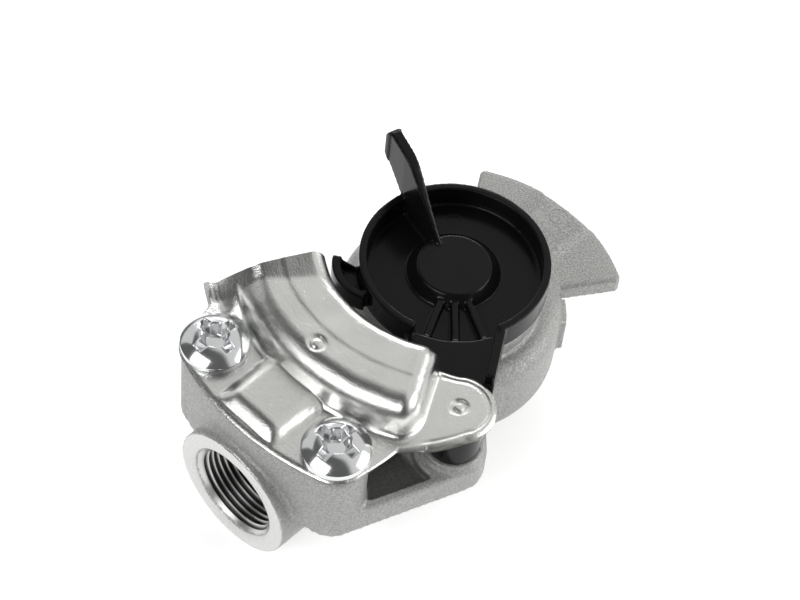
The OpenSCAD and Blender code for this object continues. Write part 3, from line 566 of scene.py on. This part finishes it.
def pressed_marks(s, x, y, angle, edge, lift):
    """Depth of the rolled rim, deeper on the ear, of the groove inside it and of the rings round the
    two dents: a parabola at the edge, and bell curves over the distance from each line."""
    ear = smooth((angle - s.ear_angle) / 4.0)
    marks = s.groove_drop * np.exp(-((edge - s.groove_in) / (0.4 * MM)) ** 2) * ear
    marks += (s.rim_drop + 0.25 * MM * ear) * np.clip(1 - edge / s.rim_w, 0.0, 1.0) ** 2 * (1 - lift)
    for cx, cy in ((-s.dent_x, 0.0), (-s.pivot_x, -s.pivot_y)):
        away = np.hypot(x - cx, y - cy)
        marks += s.dent_drop * np.exp(-((away - s.dent_r) / (0.45 * MM)) ** 2)
    return marks


def small_creases(x, y, radius, angle, edge, flat):
    """Slow waves on the plateau and three slanting creases across the wing, as bell curves."""
    height = 0.06 * MM * np.sin(x * 420.0 + 2.0 * np.sin(y * 190.0)) * np.sin(y * 350.0 + 1.0) * flat
    on_wing = smooth((radius / MM - 50.5) / 3.0) * smooth(edge / MM - 0.3)
    for spoke, size in WING_CREASES:
        off = (-angle - spoke - 0.25 * (radius / MM - 52.0)) * np.pi / 180.0 * radius
        height += size * MM * np.exp(-(off / (1.3 * MM)) ** 2) * on_wing
    return height


def plate_height(s, x, y, radius, angle, edge):
    """Height of the sheet's top: base plus arch, less the crease and the rolled inner edge, plus the
    flare and the bump, less the pressed marks, plus small creases."""
    lift = arch_lift(s, x, y, radius, angle)
    flat = smooth(lift * 4.0 - 3.0)
    z = s.base_z + (s.plateau_z - s.base_z) * lift
    z -= s.crease_drop * smooth((radius - s.crease_r) / s.crease_w + 0.5) * flat
    turn_in = np.clip((s.inner_r + s.roll_w - radius) / s.roll_w, 0.0, 0.97)
    z -= s.roll_drop * (1 - np.sqrt(1 - turn_in ** 2)) * lift
    z += flare(s, radius, angle) * lift
    z = add_bump(s, x, y, z)
    return z - pressed_marks(s, x, y, angle, edge, lift) + small_creases(x, y, radius, angle, edge, flat)


def plate_points(s):
    """Grid of angle by radius over the plate, with the radii bunched at the bend. Its first rows
    are fanned out so that the open end runs askew from the plateau to the wing's corner."""
    (outer_a, outer_r), (inner_a, inner_r) = plate_outline(s)
    to_tip = np.sin(np.linspace(0.0, np.pi / 2, ROWS[3]))
    angles = np.unique(np.concatenate([
        np.linspace(-s.wing_end, -FAN_FROM, ROWS[0]), np.linspace(-FAN_FROM, CLOSED_FROM, ROWS[1]),
        np.linspace(CLOSED_FROM, EAR_FROM, ROWS[2]), EAR_FROM + (outer_a.max() - EAR_FROM) * to_tip]))
    far = np.interp(angles, outer_a, outer_r)
    even = np.convolve(np.pad(far, 2, mode="edge"), np.ones(5) / 5, mode="valid")
    far = even + (far - even) * smooth((angles - ROUND_FROM) / 4.0)
    near = np.interp(angles, inner_a, inner_r)
    far[-1] = near[-1] = 0.5 * (far[-1] + near[-1])
    out, left = fold_line(s, s.fold_r, s.wall_steep)
    first = np.minimum(s.bend_r, near + 0.45 * (far - near))
    second = np.clip(s.bend_r + out[-1], first + 0.2 * (far - first), near + 0.8 * (far - near))
    fall = (s.plateau_z - s.base_z) * np.diff(left, prepend=1.0)
    path = np.cumsum(np.hypot(np.diff(out, prepend=0.0), fall))
    bunched = np.interp(np.linspace(0.0, path[-1], COLUMNS[1], endpoint=False), path, out) / out[-1]
    bands = ((near, first, np.linspace(0.0, 1.0, COLUMNS[0], endpoint=False)), (first, second, bunched),
             (second, far, np.linspace(0.0, 1.0, COLUMNS[2])))
    radius = np.concatenate([a[:, None] + (b - a)[:, None] * share for a, b, share in bands], axis=1)
    stop = s.mouth_end + (s.wing_end - s.mouth_end) * np.clip((radius / MM - 47.0) / 9.0, 0.0, 1.0)
    fan = (-angles[:, None] - FAN_FROM) / (s.wing_end - FAN_FROM)
    angle = np.where(fan > 0.0, -FAN_FROM - fan * (stop - FAN_FROM), angles[:, None])
    theta = np.radians(angle)
    x, y = -radius * np.cos(theta), -radius * np.sin(theta)
    edge = far[:, None] - radius
    edge = np.where(angles[:, None] > EDGE_FROM, np.minimum(edge, radius - near[:, None]), edge)
    round_pivot = s.ear_r - np.hypot(x + s.pivot_x, y + s.pivot_y)
    edge += (np.maximum(round_pivot, 0.0) - edge) * smooth((angle - ROUND_FROM) / 7.0)
    z = plate_height(s, x, y, radius, angle, np.maximum(edge, 0.0))
    return np.stack([x, y, z], axis=-1).reshape(-1, 3), grid_faces(*radius.shape)


def screw_points(s, at, base_z, turn):
    """Turned head and shank: a profile carried round the axis, less a tapering cross recess whose
    depth follows the distance inside the cross."""
    top = base_z + s.head_h + s.dome_h
    r = s.head_r * np.sin(np.linspace(0.0, np.pi / 2, 78)) ** 0.9
    slope = np.tan(np.radians(np.interp(r / s.head_r, DOME_SHARE, DOME_TILT)))
    fall = np.concatenate([[0.0], np.cumsum(0.5 * (slope[1:] + slope[:-1]) * np.diff(r))])
    dome = np.stack([r, top - fall], axis=-1)
    end_z = base_z - s.shank_len
    low = np.array([[s.head_r, base_z + 0.5 * MM], [s.head_r - 0.15 * MM, base_z + 0.1 * MM],
                    [s.head_r - 0.4 * MM, base_z], [s.shank_r, base_z], [s.shank_r, end_z + 0.6 * MM],
                    [s.shank_r - 0.6 * MM, end_z], [0.0, end_z]])
    profile = np.vstack([dome, low])
    around = np.linspace(0.0, 2 * np.pi, 193)[:-1]
    radius, phi = np.meshgrid(profile[:, 0], around, indexing="ij")
    z = np.repeat(profile[:, 1:2], len(around), axis=1)
    px, py = radius * np.cos(phi), radius * np.sin(phi)
    reach, half = s.recess_len / 2, s.recess_w / 2
    one = np.minimum(reach - np.abs(px), half - np.abs(py) - 0.06 * np.abs(px))
    two = np.minimum(reach - np.abs(py), half - np.abs(px) - 0.06 * np.abs(py))
    inside = np.maximum(np.maximum(one, two), s.hole_r - np.hypot(px, py))
    depth = s.recess_depth * np.clip(inside / (1.3 * MM), 0.0, 1.0)
    on_top = (np.arange(len(profile)) < len(dome))[:, None]
    z = z - depth * on_top
    c, n = np.cos(turn), np.sin(turn)
    return np.stack([at[0] + px * c - py * n, at[1] + px * n + py * c, z], axis=-1)


# Operators


class COUPLING_OT_casting(Operator):
    """Round the casting's edges, widen its port and cut the thread into it"""

    bl_idname = "coupling.casting"
    bl_label = "Casting"

    def execute(self, context):
        s = context.scene.coupling_casting

        def widen(points):
            """Push the port's plain wall out behind the thread's roots."""
            ring = points[:, 1:] + [0.0, s.port_drop]
            r = np.linalg.norm(ring, axis=1)
            wall = (np.abs(r - s.minor_r) < 0.02 * MM) & (points[:, 0] < -s.port_face + 17 * MM)
            points[wall, 1:] += ring[wall] * ((s.major_r + 0.35 * MM) / s.minor_r - 1.0)
            return points

        material = cast_aluminium(s)
        head = rounded_copy("body", "cast_head", s.grid, s.rounds, widen)
        head.data.materials.append(material)
        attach(head, "head")
        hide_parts("body")
        points = thread_points(s)
        faces = grid_faces(points.shape[0], points.shape[1], wrap=True)
        new_piece("port_thread", points.reshape(-1, 3), faces.tolist(), turned_thread(s),
                  "head", None)
        return {"FINISHED"}


class COUPLING_OT_guide_plate(Operator):
    """Press the guide plate from one sheet"""

    bl_idname = "coupling.guide_plate"
    bl_label = "Guide plate"

    def execute(self, context):
        s = context.scene.coupling_plate
        points, faces = plate_points(s)
        zinc = bright_zinc("zinc_sheet", s.zinc, grain_scale=2700.0, rough=0.1, relief=0.64)
        plate = new_piece("pressed_plate", points, faces.tolist(), zinc, "head", "guide_plate")
        work = bmesh.new()
        work.from_mesh(plate.data)
        bmesh.ops.remove_doubles(work, verts=work.verts, dist=1e-7)
        work.to_mesh(plate.data)
        work.free()
        sheet = plate.modifiers.new("Sheet", "SOLIDIFY")
        sheet.thickness = s.sheet_t
        sheet.offset = -1.0
        rim = plate.modifiers.new("Rim", "BEVEL")
        rim.limit_method = "ANGLE"
        rim.angle_limit = np.radians(55.0)
        rim.width = 0.3 * MM
        rim.segments = 2
        return {"FINISHED"}


class COUPLING_OT_screws(Operator):
    """Turn the two cross recess screws"""

    bl_idname = "coupling.screws"
    bl_label = "Screws"

    def execute(self, context):
        s = context.scene.coupling_screws
        p = context.scene.coupling_plate
        zinc = bright_zinc("zinc_screw", s.zinc, grain_scale=900.0, rough=0.08, relief=0.05)
        for node, side, turn in (("screw_left", 1.0, -0.05), ("screw_right", -1.0, 0.1)):
            points = screw_points(s, (-p.screw_x, side * p.screw_y), p.base_z, turn)
            rows, columns = points.shape[:2]
            faces = grid_faces(rows, columns, wrap=True)[:, ::-1]
            new_piece("turned_" + node, points.reshape(-1, 3), faces.tolist(), zinc,
                      "head", node)
        return {"FINISHED"}


class COUPLING_OT_lid(Operator):
    """Mould the lid with its dish, ribs, arm and lever"""

    bl_idname = "coupling.lid"
    bl_label = "Lid"

    def execute(self, context):
        s = context.scene.coupling_lid
        lid = rounded_copy("lid", "moulded_lid", s.grid, s.rounds)
        lid.data.materials.append(black_plastic(s))
        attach(lid, "lid")
        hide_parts("lid")
        return {"FINISHED"}


class COUPLING_OT_inner_pieces(Operator):
    """Finish the seal, the pin and the spring"""

    bl_idname = "coupling.inner_pieces"
    bl_label = "Seal, pin and spring"

    def execute(self, context):
        steel = plain("bright_steel", (0.55, 0.56, 0.57), metallic=1.0, rough=0.28, scale=900.0)
        rubber = plain("seal_rubber", (0.02, 0.02, 0.021), metallic=0.0, rough=0.6, scale=1500.0)
        for node, finish in (("pivot_pin", steel), ("lid_spring", steel), ("seal_ring", rubber)):
            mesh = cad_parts[node].data
            mesh.materials.clear()
            mesh.materials.append(finish)
        return {"FINISHED"}


# Directions of the picture's right side and of the camera, from the middle of the lid's rim
CAMERA_RIGHT = (0.6883, -0.7202, 0.0872)
CAMERA_BACK = (-0.4871, -0.3697, 0.7912)
# Side of the room with the bright wall, and the range over which it fades in
WALL_SIDE = (0.98, -0.2, 0.0)
WALL_FADE = (0.02, 0.26)
ROOM_TINT = (1.0, 1.0, 0.985, 1.0)
FAR_FLOOR_TINT = (0.1, 0.1, 0.1, 1.0)
FLOOR_HALF = 6.0
# Each lamp's name, place and size in metres, the power that it shares, its share, and if metal mirrors it
LAMPS = (
    ("softbox_back", (0.72, 0.55, 0.42), (0.45, 0.06), "key", 1.0, True),
    ("softbox_left", (0.1, 1.0, 0.42), (1.2, 0.9), "fill", 0.5, True),
    ("fill_left", (0.1, 1.0, 0.42), (1.2, 0.9), "fill", 0.6, False),
    ("softbox_right", (0.62, -0.78, 0.36), (0.7, 0.5), "fill", 1.08, True),
    ("strip_front", (-0.8, -0.05, 0.62), (0.4, 0.06), "front", 0.3, True),
    ("softbox_front", (-0.85, 0.06, 0.6), (0.8, 0.66), "front", 1.0, True),
)


class COUPLING_OT_stage(Operator):
    """Set the floor, the soft lights and the camera"""

    bl_idname = "coupling.stage"
    bl_label = "Studio"

    def execute(self, context):
        s = context.scene.coupling_stage
        scene = context.scene
        scene.view_settings.view_transform = "Standard"
        self.camera(scene, s)
        self.floor(scene, s)
        self.world(scene, s)
        for name, place, size, power, share, mirrored in LAMPS:
            self.softbox(scene, name, Vector(place), size, share * getattr(s, power), mirrored)
        return {"FINISHED"}

    def camera(self, scene, s):
        """Camera at the photo's place, turned towards the lid's rim."""
        right = Vector(CAMERA_RIGHT).normalized()
        back = Vector(CAMERA_BACK).normalized()
        turn = Matrix((right, back.cross(right), back)).transposed().to_4x4()
        lens = bpy.data.cameras.new("camera")
        lens.lens = s.lens
        lens.sensor_width = 36.0
        lens.shift_x = s.shift_x
        lens.shift_y = s.shift_y
        lens.clip_start = 0.01
        camera = bpy.data.objects.new("camera", lens)
        rim = Vector((0.0, 0.0, s.rim_z))
        camera.matrix_world = Matrix.Translation(rim + s.distance * back) @ turn
        scene.collection.objects.link(camera)
        scene.camera = camera

    def floor(self, scene, s):
        """White floor that glows for the camera, and that metal mirrors white nearby and dark far off."""
        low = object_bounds()[0][2]
        signs = ((-1, -1), (1, -1), (1, 1), (-1, 1))
        mesh = bpy.data.meshes.new("floor")
        mesh.from_pydata([(i * FLOOR_HALF, j * FLOOR_HALF, low) for i, j in signs], [], [(0, 1, 2, 3)])
        floor = bpy.data.objects.new("floor", mesh)
        scene.collection.objects.link(floor)
        material, wire, place = fresh("pale_floor")
        lit = wire.node("ShaderNodeBsdfDiffuse", None, {"Color": shade(s.floor)})
        white = wire.node("ShaderNodeEmission", None, {"Strength": s.floor_glow})
        seen = wire.node("ShaderNodeAddShader", None, {0: lit, 1: white})
        direct = wire.node("ShaderNodeLightPath", out="Is Camera Ray")
        shine = direct.also("Is Glossy Ray")
        through = direct.also("Is Transmission Ray")
        away = wire.node("ShaderNodeVectorMath", {"operation": "LENGTH"}, {0: place}, "Value")
        far = step_up(wire, away, s.floor_near, s.floor_far)
        dim = wire.node("ShaderNodeBsdfDiffuse", None, {"Color": FAR_FLOOR_TINT})
        mixed = wire.node("ShaderNodeMixShader", None, {0: direct + shine + through, 1: lit, 2: seen})
        mixed = wire.node("ShaderNodeMixShader", None, {0: shine * far, 1: mixed, 2: dim})
        wire.node("ShaderNodeOutputMaterial", None, {"Surface": mixed})
        mesh.materials.append(material)
        floor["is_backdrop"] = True

    def world(self, scene, s):
        """Dim room with a bright wall behind the part."""
        world = bpy.data.worlds.new("studio")
        world.use_nodes = True
        world.node_tree.nodes.clear()
        wire = Wire(world.node_tree)
        view = wire.node("ShaderNodeTexCoord", out="Generated")
        facing = wire.node("ShaderNodeVectorMath", {"operation": "DOT_PRODUCT"},
                           {0: view, 1: WALL_SIDE}, "Value")
        glow = s.dark + (s.bright - s.dark) * step_up(wire, facing, *WALL_FADE)
        room = wire.node("ShaderNodeBackground", None, {"Color": ROOM_TINT, "Strength": glow})
        wire.node("ShaderNodeOutputWorld", None, {"Surface": room})
        scene.world = world

    def softbox(self, scene, name, place, size, power, mirrored):
        """A soft lamp turned towards the origin."""
        light = bpy.data.lights.new(name, "AREA")
        light.shape = "RECTANGLE"
        light.size, light.size_y = size
        light.energy = power
        lamp = bpy.data.objects.new(name, light)
        lamp.location = place
        lamp.rotation_euler = place.to_track_quat("Z", "Y").to_euler()
        lamp.visible_glossy = mirrored
        scene.collection.objects.link(lamp)


class COUPLING_PT_pieces(Panel):
    """Lists the pieces of the coupling head"""

    bl_label = "Coupling head"
    bl_idname = "COUPLING_PT_pieces"
    bl_space_type = "VIEW_3D"
    bl_region_type = "UI"
    bl_category = "Coupling"

    def draw(self, context):
        for operator, settings in PIECES:
            box = self.layout.box()
            box.operator(operator.bl_idname)
            if settings:
                group = getattr(context.scene, settings)
                for name in group.__annotations__:
                    box.prop(group, name)


PIECES = (
    (COUPLING_OT_casting, "coupling_casting"),
    (COUPLING_OT_guide_plate, "coupling_plate"),
    (COUPLING_OT_screws, "coupling_screws"),
    (COUPLING_OT_lid, "coupling_lid"),
    (COUPLING_OT_inner_pieces, None),
    (COUPLING_OT_stage, "coupling_stage"),
)
SETTINGS = {
    "coupling_casting": CastingSettings,
    "coupling_plate": PlateSettings,
    "coupling_screws": ScrewSettings,
    "coupling_lid": LidSettings,
    "coupling_stage": StageSettings,
}


def register():
    for name, group in SETTINGS.items():
        bpy.utils.register_class(group)
        setattr(bpy.types.Scene, name, PointerProperty(type=group))
    for operator, _ in PIECES:
        bpy.utils.register_class(operator)
    bpy.utils.register_class(COUPLING_PT_pieces)


def unregister():
    bpy.utils.unregister_class(COUPLING_PT_pieces)
    for operator, _ in reversed(PIECES):
        bpy.utils.unregister_class(operator)
    for name, group in SETTINGS.items():
        delattr(bpy.types.Scene, name)
        bpy.utils.unregister_class(group)


def main():
    """Build every piece and the stage."""
    register()
    bpy.ops.coupling.casting()
    bpy.ops.coupling.guide_plate()
    bpy.ops.coupling.screws()
    bpy.ops.coupling.lid()
    bpy.ops.coupling.inner_pieces()
    bpy.ops.coupling.stage()
    bpy.context.view_layer.update()


if __name__ == "__main__":
    main()
